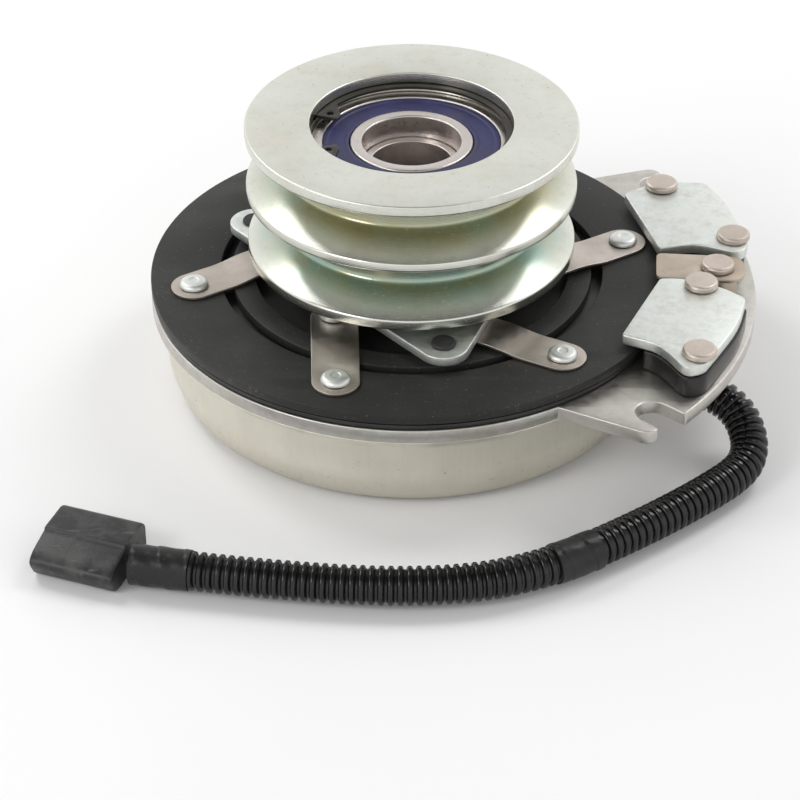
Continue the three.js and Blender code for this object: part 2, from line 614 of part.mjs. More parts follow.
function buildLead() {
  const grommet = turned([[3.2, 0], [7.2, 0], [7.2, 3.2], [5, 3.6], [5, 5.6], [3.2, 5.6]], 16)
    .rotateY(-Math.PI / 2);
  const shellFace = armatureRadius - 3.9 + 4.5;
  const at = [...polar(shellFace, LOOM_EXIT_AZIMUTH), loomHeight];
  place('wire_grommet', grommet, 'rubber', { at, turn: LOOM_EXIT_AZIMUTH });
  const total = route.getLength();
  const gap = 0.3 / total;
  const midTape = [0.443, 0.501];
  const endTape = 0.93;
  place('loom_upper', tube(LOOM_RADIUS, 0, midTape[0] - gap, 26), 'loomPlastic');
  place('loom_mid_tape', tube(TAPE_RADIUS, midTape[0], midTape[1], 4), 'tape');
  place('loom_lower', tube(LOOM_RADIUS, midTape[1] + gap, endTape - gap, 20), 'loomPlastic');
  place('loom_end_tape', tube(TAPE_RADIUS, endTape, 1, 4), 'tape');
  const end = route.getPointAt(1);
  const turn = CONNECTOR.turn;
  const [dx, dy] = polar(2.8, turn);
  const [sx, sy] = polar(-2.7, turn + 90);
  place('connector_housing', connectorHousing(), 'greyPlastic', { at: [end.x + dx + sx, end.y + dy + sy, 0.05], turn });
  [-6.5, 6.5].forEach((along, i) => {
    const blade = new THREE.BoxGeometry(6, 2.4, 1).translate(CONNECTOR.length - 6, along, CONNECTOR.height / 2 - 2);
    const placing = { at: [end.x + dx + sx, end.y + dy + sy, 0.05], turn };
    place(`connector_terminal_${i + 1}`, blade, 'brass', placing);
  });
}

buildField();
place('rotor', rotor(), 'blackMetal');
buildPulley();
place('armature_disc', armatureDisc(), 'blackMetal');
buildLead();

export default clutch;
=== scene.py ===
# %% [markdown]
# # A belt-pulley electromagnetic clutch
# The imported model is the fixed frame. Every piece below is built around it, in metres,
# and takes its place and size from the frame's own boxes.
# %% Load the frame
import math

import bmesh
import bpy
from mathutils import Matrix, Vector


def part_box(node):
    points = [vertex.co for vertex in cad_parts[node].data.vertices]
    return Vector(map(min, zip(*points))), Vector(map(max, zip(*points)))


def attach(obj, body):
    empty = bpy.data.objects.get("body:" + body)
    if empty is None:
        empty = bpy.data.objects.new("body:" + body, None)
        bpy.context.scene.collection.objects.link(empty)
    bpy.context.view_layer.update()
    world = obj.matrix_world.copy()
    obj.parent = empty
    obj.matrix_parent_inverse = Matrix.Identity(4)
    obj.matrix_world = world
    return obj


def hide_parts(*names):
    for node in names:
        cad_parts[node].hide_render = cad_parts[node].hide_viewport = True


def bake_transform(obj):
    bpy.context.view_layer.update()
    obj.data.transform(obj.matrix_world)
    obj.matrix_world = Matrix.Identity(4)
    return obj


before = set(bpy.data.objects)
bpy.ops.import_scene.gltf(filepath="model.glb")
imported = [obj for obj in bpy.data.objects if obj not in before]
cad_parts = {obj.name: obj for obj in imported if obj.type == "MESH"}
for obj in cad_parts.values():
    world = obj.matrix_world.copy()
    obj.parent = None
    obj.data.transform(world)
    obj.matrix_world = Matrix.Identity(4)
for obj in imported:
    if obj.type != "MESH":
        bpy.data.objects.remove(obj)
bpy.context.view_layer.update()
MM = 0.001

# %% [markdown]
# ## Camera
# A long lens close to the object, held above it and tipped down: the pulley's top face,
# the armature and the lead on the table all stay in view.
# %% Camera
CAMERA_PLACE = Vector((0, -0.8099, 0.5542))
CAMERA_AIM = Vector((-0.0040, -0.0225, 0))
LENS = 117.95


def make_camera():
    data = bpy.data.cameras.new("camera")
    data.lens = LENS
    data.sensor_width = 36
    data.clip_start = 0.05
    camera = bpy.data.objects.new("camera", data)
    camera.location = CAMERA_PLACE
    camera.rotation_euler = (CAMERA_AIM - CAMERA_PLACE).to_track_quat("-Z", "Y").to_euler()
    bpy.context.scene.collection.objects.link(camera)
    bpy.context.scene.camera = camera


make_camera()
print("camera ready")

# %% [markdown]
# ## Shader sums as plain Python
# `Value` wraps a node's output, so a sum such as `1 - wear * 0.4` adds its own Math nodes.
# `Finish` holds one material and adds any other node through a single method.
# %% Shader helpers


class Value:
    def __init__(self, finish, socket):
        self.finish = finish
        self.socket = socket

    def _math(self, operation, other, swap=False):
        pair = (other, self) if swap else (self, other)
        return self.finish.node("ShaderNodeMath", {"operation": operation}, {0: pair[0], 1: pair[1]})

    def __add__(self, other):
        return self._math("ADD", other)

    def __sub__(self, other):
        return self._math("SUBTRACT", other)

    def __mul__(self, other):
        return self._math("MULTIPLY", other)

    def __pow__(self, other):
        return self._math("POWER", other)

    def __rsub__(self, other):
        return self._math("SUBTRACT", other, swap=True)

    __radd__ = __add__
    __rmul__ = __mul__

    def sine(self):
        return self._math("SINE", 0.0)


class Finish:
    """One procedural material, whose varying inputs come from object coordinates."""

    def __init__(self, name, **constants):
        self.material = bpy.data.materials.new(name)
        self.material.use_nodes = True
        self.tree = self.material.node_tree
        self.shader = self.tree.nodes["Principled BSDF"]
        for socket, value in constants.items():
            self.shader.inputs[socket.replace("_", " ")].default_value = value
        self.place = self.node("ShaderNodeTexCoord", output="Object")

    def node(self, kind, settings=None, inputs=None, output=0):
        made = self.tree.nodes.new(kind)
        for name, value in (settings or {}).items():
            setattr(made, name, value)
        for key, value in (inputs or {}).items():
            if isinstance(value, Value):
                self.tree.links.new(value.socket, made.inputs[key])
            else:
                made.inputs[key].default_value = value
        return Value(self, made.outputs[output])

    def noise(self, scale, detail=4.0, roughness=0.55, at=None):
        inputs = {"Vector": at or self.place, "Scale": scale, "Detail": detail, "Roughness": roughness}
        return self.node("ShaderNodeTexNoise", inputs=inputs)

    def stretched(self, sizes):
        return self.node("ShaderNodeMapping", inputs={"Vector": self.place, "Scale": sizes})

    def ramp(self, value, low, high, low_out=0.0, high_out=1.0):
        inputs = {"Value": value, "From Min": low, "From Max": high, "To Min": low_out, "To Max": high_out}
        return self.node("ShaderNodeMapRange", {"clamp": True}, inputs)

    def mix(self, share, first, second):
        inputs = {0: share, 6: self.colour(first), 7: self.colour(second)}
        return self.node("ShaderNodeMix", {"data_type": "RGBA"}, inputs, output=2)

    @staticmethod
    def colour(value):
        return value if isinstance(value, Value) else (*value, 1.0)

    def axes(self):
        split = self.tree.nodes.new("ShaderNodeSeparateXYZ")
        self.tree.links.new(self.place.socket, split.inputs[0])
        return [Value(self, socket) for socket in split.outputs]

    def radius(self):
        x, y, _ = self.axes()
        return (x * x + y * y) ** 0.5

    def feed(self, **values):
        for name, value in values.items():
            self.tree.links.new(value.socket, self.shader.inputs[name.replace("_", " ")])

    def bump(self, height, depth, strength=1.0):
        inputs = {"Height": height, "Distance": depth, "Strength": strength}
        self.feed(Normal=self.node("ShaderNodeBump", inputs=inputs))
        return self


# %% [markdown]
# ## Plated metal
# Zinc plate is pale with cloudy yellow, pink and green stains left by its passivation.
# The turned pulley also keeps fine rings from the lathe, and small specks dot the surface. Its grooves carry
# painted shade over their olive tint.
# %% Metal finishes


def plated(name, pale, stain, tint, roughness, stains=0.5, grain=(1, 1, 1)):
    finish = Finish(name, Metallic=1.0)
    cloud = finish.ramp(finish.noise(28, 5), 0.38, 0.66)
    blush = finish.ramp(finish.noise(55, 3, at=finish.stretched((1, 1, 2.2))), 0.45, 0.7)
    specks = finish.ramp(finish.noise(1500, 2), 0.68, 0.76)
    dull = finish.ramp(finish.noise(230, 5, 0.7), 0.46, 0.68)
    streaks = finish.noise(420, 3, at=finish.stretched(grain))
    colour = finish.mix(cloud * stains, pale, stain)
    colour = finish.mix(blush * stains, colour, tint)
    colour = finish.mix(dull * 0.4 * stains, colour, (0.40, 0.385, 0.355))
    colour = finish.mix(specks * 0.45, colour, (0.18, 0.155, 0.13))
    rough = finish.ramp(streaks, 0.3, 0.7, roughness - 0.05, roughness + 0.07) + cloud * 0.05 + dull * 0.05
    height = streaks * 0.8 + finish.noise(900, 2) * 0.3
    finish.feed(Base_Color=colour, Roughness=rough)
    return finish.bump(height, 0.00003, 0.5).material


def grooved_zinc():
    """The pulley's plate: an even pale grey on the flanges, olive and sea green in the grooves, which are
    also painted darker as shade.
    """
    finish = Finish("pulley_zinc", Metallic=1.0)
    radius = finish.radius()
    _, _, height = finish.axes()
    # Painted shade: the groove walls turn olive and darker towards their roots. The olive is the plating's
    # tint, and the darkening stands in for shade.
    deep = 1 - finish.ramp(radius, 0.0485, 0.0592)
    grooves = finish.ramp(radius, 0.0365, 0.0372) * (1 - finish.ramp(height, 0.1028, 0.1034))
    cloud = finish.noise(34, 5)
    swirl = finish.noise(48, 3, at=finish.stretched((1, 1, 3)))
    pale = finish.mix(finish.ramp(cloud, 0.35, 0.7), (0.70, 0.715, 0.66), (0.64, 0.635, 0.56))
    pale = finish.mix(finish.ramp(swirl, 0.55, 0.75) * 0.35, pale, (0.70, 0.64, 0.58))
    worn = finish.ramp(finish.noise(210, 5, 0.7), 0.5, 0.7)
    pale = finish.mix(worn * 0.3, pale, (0.50, 0.49, 0.43))
    # The olive and sea-green groove colours are kept dark as painted shade as well as tint.
    olive = finish.mix(finish.ramp(cloud, 0.42, 0.6), (0.33, 0.315, 0.185), (0.33, 0.38, 0.29))
    lower = 1 - finish.ramp(height, 0.076, 0.083)
    olive = finish.mix(lower * finish.ramp(swirl, 0.38, 0.62), olive, (0.23, 0.345, 0.29))
    colour = finish.mix(deep * grooves * 0.9, pale, olive)
    specks = finish.ramp(finish.noise(1100, 2), 0.70, 0.75)
    colour = finish.mix(specks * 0.6, colour, (0.12, 0.10, 0.08))
    rings = ((radius * 1.6 + height) * (2 * math.pi / 0.0006)).sine()
    top = finish.ramp(height, 0.1028, 0.1034)
    rough = finish.ramp(cloud, 0.3, 0.7, 0.20, 0.27) + specks * 0.2 + top * 0.15
    finish.feed(Base_Color=colour, Roughness=rough)
    return finish.bump(rings * 0.5 + finish.noise(420, 2) * 0.6, 0.00002, 0.5).material


def black_phosphate():
    """The armature's matt black, with patches of pale dust and a few fine scratches."""
    finish = Finish("armature_black", Metallic=0.0, Specular_IOR_Level=0.25)
    dust = finish.ramp(finish.noise(520, 4, 0.6), 0.60, 0.74)
    specks = finish.ramp(finish.noise(1300, 2), 0.70, 0.76)
    patch = finish.ramp(finish.noise(20, 4), 0.42, 0.70)
    edge = finish.ramp(finish.radius(), 0.078, 0.0945)
    colour = finish.mix(patch * 0.5, (0.020, 0.020, 0.019), (0.046, 0.045, 0.041))
    colour = finish.mix(dust * patch * (0.12 + edge * 0.25), colour, (0.22, 0.21, 0.19))
    colour = finish.mix(specks * 0.5, colour, (0.40, 0.38, 0.34))
    rough = finish.ramp(patch, 0, 1, 0.50, 0.42)
    finish.feed(Base_Color=colour, Roughness=rough)
    return finish.bump(finish.noise(900, 3), 0.00004, 0.5).material


def drawn_shell():
    """The deep-drawn can: satin grey plate with upright draw lines and darker handling marks, and painted
    shade darkening it towards its foot.
    """
    finish = Finish("shell_satin", Metallic=0.9)
    lines = finish.noise(700, 3, at=finish.stretched((1, 1, 0.05)))
    marks = finish.ramp(finish.noise(30, 5), 0.42, 0.68)
    spots = finish.ramp(finish.noise(300, 3, 0.6), 0.66, 0.75)
    colour = finish.mix(marks * 0.55, (0.74, 0.71, 0.62), (0.62, 0.585, 0.495))
    colour = finish.mix(spots * 0.5, colour, (0.24, 0.215, 0.17))
    _, _, height = finish.axes()
    # Painted shade: the wall is darkened towards its foot, near the table.
    foot = 1 - finish.ramp(height, 0.001, 0.016)
    lip = finish.ramp(height, 0.0275, 0.0295)
    colour = finish.mix(foot * 0.45, colour, (0.36, 0.335, 0.275))
    colour = finish.mix(lip * finish.ramp(spots + marks, 0.2, 0.9) * 0.5, colour, (0.36, 0.35, 0.31))
    rough = finish.ramp(lines, 0.3, 0.7, 0.34, 0.5) + marks * 0.06
    finish.feed(Base_Color=colour, Roughness=rough)
    return finish.bump(lines + finish.noise(120, 4) * 0.8, 0.00008, 0.5).material


# %% [markdown]
# ## Plastics, rubber and tape
# Dark mouldings show through their gloss: a fine grain breaks the highlight, and dust
# makes a few paler points. The tape has lengthwise wrinkles as well.
# %% Dark finishes


def moulded(name, dark, pale, roughness, grain=1100, depth=0.00006, dust=0.25, **constants):
    finish = Finish(name, **constants)
    cloud = finish.noise(45, 4)
    specks = finish.ramp(finish.noise(1300, 3), 0.66, 0.76)
    colour = finish.mix(finish.ramp(cloud, 0.35, 0.7), dark, pale)
    colour = finish.mix(specks * dust, colour, (0.30, 0.29, 0.27))
    rough = finish.ramp(cloud, 0.3, 0.7, roughness - 0.06, roughness + 0.08) + specks * 0.15
    finish.feed(Base_Color=colour, Roughness=rough)
    return finish.bump(finish.noise(grain, 3) + cloud * 0.6, depth, 0.6).material


def seal_rubber():
    finish = Finish("seal_blue", Metallic=0.0)
    rings = finish.ramp((finish.radius() * (2 * math.pi / 0.0012)).sine(), -1, 1)
    cloud = finish.noise(90, 3)
    colour = finish.mix(finish.ramp(cloud, 0.35, 0.7), (0.016, 0.015, 0.066), (0.030, 0.031, 0.115))
    colour = finish.mix(finish.ramp(finish.noise(900, 3), 0.64, 0.74) * 0.3, colour, (0.16, 0.16, 0.24))
    finish.feed(Base_Color=colour, Roughness=finish.ramp(cloud, 0.3, 0.7, 0.42, 0.6))
    return finish.bump(rings * 0.6 + cloud, 0.00007, 0.5).material


def scuffed_housing():
    """The connector's charcoal plastic, with paler rubbed patches and fine scratches."""
    finish = Finish("housing_grey", Specular_IOR_Level=0.35)
    rubbed = finish.ramp(finish.noise(120, 6, 0.65), 0.46, 0.7)
    scratch = finish.ramp(finish.noise(420, 3, at=finish.stretched((0.25, 1.4, 1))), 0.62, 0.7)
    colour = finish.mix(rubbed * 0.75, (0.022, 0.022, 0.022), (0.085, 0.083, 0.08))
    colour = finish.mix(scratch * 0.4, colour, (0.17, 0.165, 0.155))
    finish.feed(Base_Color=colour, Roughness=finish.ramp(rubbed, 0, 1, 0.34, 0.52))
    return finish.bump(rubbed + scratch * 0.4, 0.00012, 0.6).material


MATERIALS = {
    "pulley": grooved_zinc(),
    "zinc": plated("cover_zinc", (0.73, 0.76, 0.73), (0.69, 0.72, 0.68), (0.71, 0.71, 0.67),
                   0.44, stains=0.8),
    "rivet_zinc": plated("rivet_zinc", (0.74, 0.76, 0.74), (0.68, 0.68, 0.64), (0.72, 0.70, 0.68), 0.42,
                         stains=0.3),
    "nickel": plated("rivet_nickel", (0.60, 0.53, 0.47), (0.50, 0.43, 0.37), (0.66, 0.58, 0.52),
                     0.42, stains=0.7),
    "steel": plated("ground_steel", (0.60, 0.555, 0.53), (0.52, 0.48, 0.455), (0.62, 0.56, 0.53),
                    0.3, stains=0.2),
    "strap": plated("strap_steel", (0.54, 0.49, 0.44), (0.42, 0.37, 0.32), (0.62, 0.57, 0.53),
                    0.36, stains=0.8),
    "tan": plated("tan_steel", (0.50, 0.43, 0.35), (0.41, 0.34, 0.265), (0.56, 0.49, 0.41),
                  0.42, stains=0.8),
    "plate": plated("plate_satin", (0.60, 0.59, 0.55), (0.48, 0.46, 0.41), (0.60, 0.55, 0.54),
                    0.36, stains=1.0),
    "shell": drawn_shell(),
    "armature": black_phosphate(),
    "rotor": moulded("rotor_black", (0.012, 0.012, 0.012), (0.028, 0.027, 0.026), 0.42),
    "clip": moulded("clip_black", (0.03, 0.028, 0.026), (0.075, 0.068, 0.06), 0.36, Metallic=0.7),
    "block": moulded("block_black", (0.010, 0.010, 0.010), (0.024, 0.021, 0.018),
                     0.3, Specular_IOR_Level=0.35),
    "housing": scuffed_housing(),
    "loom": moulded("loom_black", (0.004, 0.004, 0.004), (0.008, 0.008, 0.008), 0.17, 700, 0.00002, 0.05,
                     Specular_IOR_Level=0.42),
    "tape": moulded("tape_black", (0.008, 0.008, 0.008), (0.018, 0.018, 0.018), 0.34, 420, 0.0002, 0.15,
                     Specular_IOR_Level=0.32),
    "rubber": moulded("bumper_rubber", (0.014, 0.014, 0.014), (0.03, 0.03, 0.03), 0.66),
    "seal": seal_rubber(),
    "brass": plated("terminal_brass", (0.70, 0.54, 0.24), (0.56, 0.42, 0.18), (0.76, 0.62, 0.34),
                    0.3, stains=0.6),
    "potting": moulded("coil_potting", (0.02, 0.017, 0.014), (0.05, 0.042, 0.034), 0.6),
}
print("materials", len(MATERIALS))

# %% [markdown]
# ## Shape helpers
# Two ways of making cover nearly every metal piece: a closed outline turned about the
# shaft, and a flat outline with holes, punched from sheet. Both ease their corners.
# %% Shape helpers
AROUND = 160
RIVET_HOLE = 2.8
BROAD_HOLE = 3.3
ON_AXIS = 1e-6


def eased(corners, reach, steps=4):
    """The closed outline with each corner drawn as a short curve that starts `reach` before it."""
    points = []
    for i, corner in enumerate(corners):
        here = Vector(corner[:2])
        before = Vector(corners[i - 1][:2]) - here
        after = Vector(corners[(i + 1) % len(corners)][:2]) - here
        own = corner[2] if len(corner) > 2 else reach
        if not own:
            points.append(here)
            continue
        start = here + before.normalized() * min(own, before.length * 0.48)
        end = here + after.normalized() * min(own, after.length * 0.48)
        for k in range(steps + 1):
            t = k / steps
            points.append(start * (1 - t) ** 2 + here * 2 * t * (1 - t) + end * t * t)
    return points


def polar(radius, degrees, centre=(0, 0)):
    angle = math.radians(degrees)
    return (centre[0] + radius * math.cos(angle), centre[1] + radius * math.sin(angle))


def circle(radius, centre=(0, 0), count=48):
    return [polar(radius, 360 * i / count, centre) for i in range(count)]


def drill(radius, at):
    return circle(radius, at, 20)


def arc(radius, start, end, count, centre=(0, 0)):
    return [polar(radius, start + (end - start) * i / count, centre) for i in range(count + 1)]


def link(name, mesh, material, angle=32):
    mesh.materials.clear()
    mesh.materials.append(MATERIALS[material])
    mesh.shade_smooth()
    mesh.set_sharp_from_angle(angle=math.radians(angle))
    piece = bpy.data.objects.new(name, mesh)
    bpy.context.scene.collection.objects.link(piece)
    return piece


def turned_mesh(name, corners, reach=0.25, around=AROUND):
    """A closed (radius, height) outline in millimetres, turned about Z.

    A solid's outline starts and ends on the axis, and those two corners stay sharp.
    """
    solid = any(corner[0] < ON_AXIS for corner in corners)
    outline = eased(corners, reach)
    if solid:
        per = len(outline) // len(corners)
        outline = [Vector(corners[0][:2]), *outline[per:-per], Vector(corners[-1][:2])]
    bm = bmesh.new()
    rings = []
    for point in outline:
        if point.x < ON_AXIS:
            rings.append([bm.verts.new((0, 0, point.y * MM))])
            continue
        spin = [polar(point.x * MM, 360 * i / around) for i in range(around)]
        rings.append([bm.verts.new((x, y, point.y * MM)) for x, y in spin])
    pairs = zip(rings, rings[1:] if solid else rings[1:] + rings[:1])
    for low, high in pairs:
        for i in range(around):
            j = (i + 1) % around
            corners4 = [low[i % len(low)], low[j % len(low)], high[j % len(high)], high[i % len(high)]]
            face = list(dict.fromkeys(corners4))
            if len(face) > 2:
                bm.faces.new(face)
    return finished(name, bm)


def finished(name, bm):
    bmesh.ops.remove_doubles(bm, verts=bm.verts, dist=1e-6)
    bmesh.ops.recalc_face_normals(bm, faces=bm.faces)
    mesh = bpy.data.meshes.new(name)
    bm.to_mesh(mesh)
    bm.free()
    return mesh


def realised(maker):
    """The plain mesh that an object evaluates to; the object itself is removed."""
    bpy.context.view_layer.update()
    graph = bpy.context.evaluated_depsgraph_get()
    mesh = bpy.data.meshes.new_from_object(maker.evaluated_get(graph))
    bpy.data.objects.remove(maker)
    return mesh


def sheet_mesh(name, outlines, low, high, edge=0.3, turn=0.0):
    """Flat outlines in millimetres, holes among them, given a thickness with rounded edges."""
    data = bpy.data.curves.new(name, "CURVE")
    data.dimensions = "2D"
    data.fill_mode = "BOTH"
    data.extrude = ((high - low) / 2 - edge) * MM
    data.bevel_depth = edge * MM
    data.bevel_resolution = 2
    data.offset = -edge * MM
    for outline in outlines:
        spline = data.splines.new("POLY")
        spline.points.add(len(outline) - 1)
        for slot, point in zip(spline.points, outline):
            slot.co = (point[0] * MM, point[1] * MM, 0, 1)
        spline.use_cyclic_u = True
    maker = bpy.data.objects.new(name, data)
    bpy.context.scene.collection.objects.link(maker)
    flat = realised(maker)
    bm = bmesh.new()
    bm.from_mesh(flat)
    bmesh.ops.transform(bm, matrix=Matrix.Rotation(math.radians(turn), 4, "Z")
                        @ Matrix.Translation((0, 0, (low + high) / 2 * MM)), verts=bm.verts)
    return finished(name, bm)


def add(name, mesh, material, body, slot, *nodes, angle=32):
    piece = link(name, mesh, material, angle)
    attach(piece, body)
    if nodes:
        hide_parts(*nodes)
    return piece


def low(node):
    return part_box(node)[0].z / MM


def high(node):
    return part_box(node)[1].z / MM


def wide(node):
    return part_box(node)[1].x / MM


def centre(node):
    lower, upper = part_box(node)
    return ((lower.x + upper.x) / 2 / MM, (lower.y + upper.y) / 2 / MM)


# %% [markdown]
# ## The pulley
# Two V grooves are turned in one casting. Its rims are slightly rounded, and the groove
# roots meet the walls in small curves that hold a shadow.
# %% Pulley
TOP = high("pulley")
RIM = wide("pulley")
ARMATURE_R = wide("armature_disc")
BEARING_R = 36
ROOT_R = RIM - 14
FLANGES = (3.8, 18.8, 3.0, 19.9, 3.7)


def pulley_outline():
    corners = [(BEARING_R, TOP, 0.5), (RIM, TOP, 0.7)]
    height = TOP - FLANGES[0]
    for groove, flange in ((FLANGES[1], FLANGES[2]), (FLANGES[3], FLANGES[4])):
        middle = height - groove / 2
        corners += [(RIM, height, 0.6), (ROOT_R, middle + 2.75, 1.6), (ROOT_R, middle - 2.75, 1.6),
                    (RIM, height - groove, 0.6)]
        height -= groove + flange
    bottom = low("pulley")
    seat = low("pulley_bearing_outer_ring") - 0.2
    clip = high("pulley_bearing_outer_ring") + 2
    return corners + [
        (RIM, height, 0.6), (ROOT_R - 5, height, 0.8), (ROOT_R - 5, bottom), (BEARING_R - 3.5, bottom),
        (BEARING_R - 3.5, seat), (BEARING_R, seat), (BEARING_R, clip, 0.1), (BEARING_R + 2, clip, 0.1),
        (BEARING_R + 2, clip + 1.7, 0.1), (BEARING_R, clip + 1.7, 0.1)]


casting = turned_mesh("pulley_casting", pulley_outline(), 0.3, 192)
add("pulley_casting", casting, "pulley", "pulley", "zinc", "pulley")
print("pulley", RIM, TOP)

# %% [markdown]
# ## Sealed bearings
# Each is two ground rings with chamfered edges and a blue rubber seal let in between.
# The seal has a raised lip at each edge, so it reads as a moulding, not a washer.
# %% Bearings


def bearing(prefix, body_outer, body_inner):
    bottom, top = low(f"{prefix}_outer_ring"), high(f"{prefix}_outer_ring")
    inner_face = wide(f"{prefix}_inner_ring")
    bore = 17.5
    race = 31.5
    rings = [("outer_ring", race, BEARING_R - 0.1, body_outer), ("inner_ring", bore, inner_face, body_inner)]
    for part, inside, outside, body in rings:
        corners = [(inside, bottom, 0.7), (outside, bottom, 0.9), (outside, top, 0.9), (inside, top, 0.7)]
        node = f"{prefix}_{part}"
        add(f"{node}_ground", turned_mesh(node, corners), "steel", body, "bearing_steel", node)
    for part, face, turn in (("upper_seal", top, -1), ("lower_seal", bottom, 1)):
        edge = face + turn * 0.45
        back = face + turn * 1.6
        corners = [(inner_face + 0.35, back), (inner_face + 0.35, edge), (inner_face + 1.6, edge),
                   (inner_face + 2.1, edge + turn * 0.4), (race - 2, edge + turn * 0.4),
                   (race - 1.5, edge), (race - 0.15, edge), (race - 0.15, back)]
        node = f"{prefix}_{part}"
        add(f"{node}_moulded", turned_mesh(node, corners, 0.2), "seal", body_outer, "blue_seal", node)


bearing("pulley_bearing", "pulley", "rotor")
bearing("field_bearing", "field", "rotor")
print("bearings made")

# %% [markdown]
# ## Snap rings
# A snap ring is stamped from spring steel: a band open between two ears, with a hole in
# each ear for the pliers.
# %% Snap rings


def snap_ring(name, node, body, outer):
    inner = outer - 4.2
    gap = 161
    outline = arc(outer, -gap, gap, 90)
    outline += [polar(inner - 5, gap), polar(inner - 5.6, gap - 3), polar(inner - 5.2, gap - 7),
                polar(inner - 1.8, gap - 14)]
    outline += arc(inner, gap - 18, -gap + 18, 80)
    outline += [polar(inner - 1.8, -gap + 14), polar(inner - 5.2, -gap + 7), polar(inner - 5.6, -gap + 3),
                polar(inner - 5, -gap)]
    ears = [drill(1.3, polar(inner - 1.6, side * (gap - 5))) for side in (1, -1)]
    mesh = sheet_mesh(name, [outline, *ears], low(node), high(node), 0.15)
    add(name, mesh, "clip", body, "black_metal", node)


snap_ring("snap_ring_stamped", "snap_ring", "pulley", BEARING_R + 1.6)
snap_ring("field_snap_ring_stamped", "field_snap_ring", "field", BEARING_R + 1.2)

# %% [markdown]
# ## Rotor
# Only the rotor's rim and the top of its keyed hub show. The hub is a sleeve of its own,
# pressed into the disc, so its bore can hold the keyway.
# %% Rotor
BORE = 14.2875
JOURNAL = 17.3
KEY_HALF = 3.175
KEY_DEPTH = 1.6


def rotor_outline():
    top = low("armature_disc") - 0.7
    upper = low("pulley_bearing_inner_ring") - 0.2
    lower = high("field_bearing_inner_ring") + 0.2
    shoulder = 20
    web = top - 5.8
    foot = 16
    return [
        (JOURNAL, upper), (JOURNAL, lower), (shoulder, lower), (shoulder, web), (41, web), (41, foot),
        (45, foot), (45, web), (81, web), (81, foot), (85, foot), (85, top - 1.5),
        (ARMATURE_R - 0.5, top - 1.5, 0.3), (ARMATURE_R - 0.5, top, 0.3), (shoulder, top),
        (shoulder, upper)]


def hub_mesh():
    start = math.degrees(math.asin(KEY_HALF / BORE))
    bore = arc(BORE, -180 + start, 180 - start, 96)
    keyway = [(-BORE - KEY_DEPTH, KEY_HALF), (-BORE - KEY_DEPTH, -KEY_HALF)]
    outside = circle(JOURNAL - 0.02, count=128)
    return sheet_mesh("hub", [outside, bore + keyway], low("rotor"), high("rotor"), 0.35)


add("rotor_disc", turned_mesh("rotor_disc", rotor_outline(), 0.2), "rotor", "rotor", "black_metal", "rotor")
add("rotor_hub", hub_mesh(), "steel", "rotor", "black_metal", "rotor")
print("rotor made")

# %% [markdown]
# ## Armature
# The disc is blanked from plate: arc slots part its outer ring from its inner one, and
# bridges under the straps join them.
# %% Armature
STRAPS = 6
OUTER_ENDS = [centre(f"outer_rivet_{i + 1}") for i in range(STRAPS)]
INNER_ENDS = [centre(f"inner_rivet_{i + 1}") for i in range(STRAPS)]
STRAP_TURN = math.degrees(math.atan2(OUTER_ENDS[0][1], OUTER_ENDS[0][0]))
SLOT_OUTER = ARMATURE_R - 25.2
SLOT_INNER = SLOT_OUTER - 4
STRAP_PITCH = 360 / STRAPS
BRIDGE = 9


def slot_outline(turn):
    """One arc slot between two bridges, whose width is given in degrees."""
    start = turn - 3.8 + BRIDGE / 2
    end = start + STRAP_PITCH - BRIDGE
    return arc(SLOT_OUTER, start, end, 40) + arc(SLOT_INNER, end, start, 40)


def armature_mesh():
    slots = [slot_outline(STRAP_TURN + STRAP_PITCH * i) for i in range(STRAPS)]
    drills = [drill(RIVET_HOLE, at) for at in OUTER_ENDS]
    outlines = [circle(ARMATURE_R, count=220), circle(SLOT_OUTER - 12.5, count=128), *slots, *drills]
    return sheet_mesh("armature", outlines, low("armature_disc"), high("armature_disc"), 0.35)


add("armature_plate", armature_mesh(), "armature", "armature", "black_metal", "armature_disc")

# %% [markdown]
# ## Drive plate
# Under the pulley sits a plate with three lobes and straight flanks between them. Each
# lobe holds a rubber bumper, and six small ears carry the straps' inner rivets.
# %% Drive plate
LOBES = 3
LOBE_ENDS = [centre(f"bumper_{i + 1}") for i in range(LOBES)]
LOBE_TURN = math.degrees(math.atan2(LOBE_ENDS[0][1], LOBE_ENDS[0][0]))
LOBE_R = math.hypot(*LOBE_ENDS[0])
LOBE_TIP = 9
EAR_R = 5.4


def drive_reach(degrees):
    """How far the plate reaches at an angle: the farthest of its flanks, tips and ears."""
    reach = math.hypot(*INNER_ENDS[0]) - 1
    angle = math.radians(degrees)
    ahead = Vector((math.cos(angle), math.sin(angle)))
    for ends, size in ((LOBE_ENDS, LOBE_TIP), (INNER_ENDS, EAR_R)):
        for end in ends:
            along = ahead.dot(Vector(end))
            inside = size * size - (Vector(end).length_squared - along * along)
            if along > 0 and inside > 0:
                reach = max(reach, along + math.sqrt(inside))
    off = (degrees - LOBE_TURN) % 120 - 60
    flank = (LOBE_R / 2 + LOBE_TIP) / math.cos(math.radians(off))
    tip_start = math.degrees(math.atan2(LOBE_R * math.sin(math.radians(60)), LOBE_R / 2 + LOBE_TIP))
    return max(reach, flank if abs(off) <= tip_start else 0)


def drive_outline(count=720):
    return [polar(drive_reach(360 * i / count), 360 * i / count) for i in range(count)]


def drive_mesh():
    holes = [circle(BEARING_R - 3, count=96)]
    holes += [circle(3.8, at, 24) for at in LOBE_ENDS] + [drill(RIVET_HOLE, at) for at in INNER_ENDS]
    return sheet_mesh("drive", [drive_outline(), *holes], low("drive_plate"), high("drive_plate"), 0.45)


add("drive_plate_blank", drive_mesh(), "zinc", "pulley", "zinc", "drive_plate")
print("discs made")

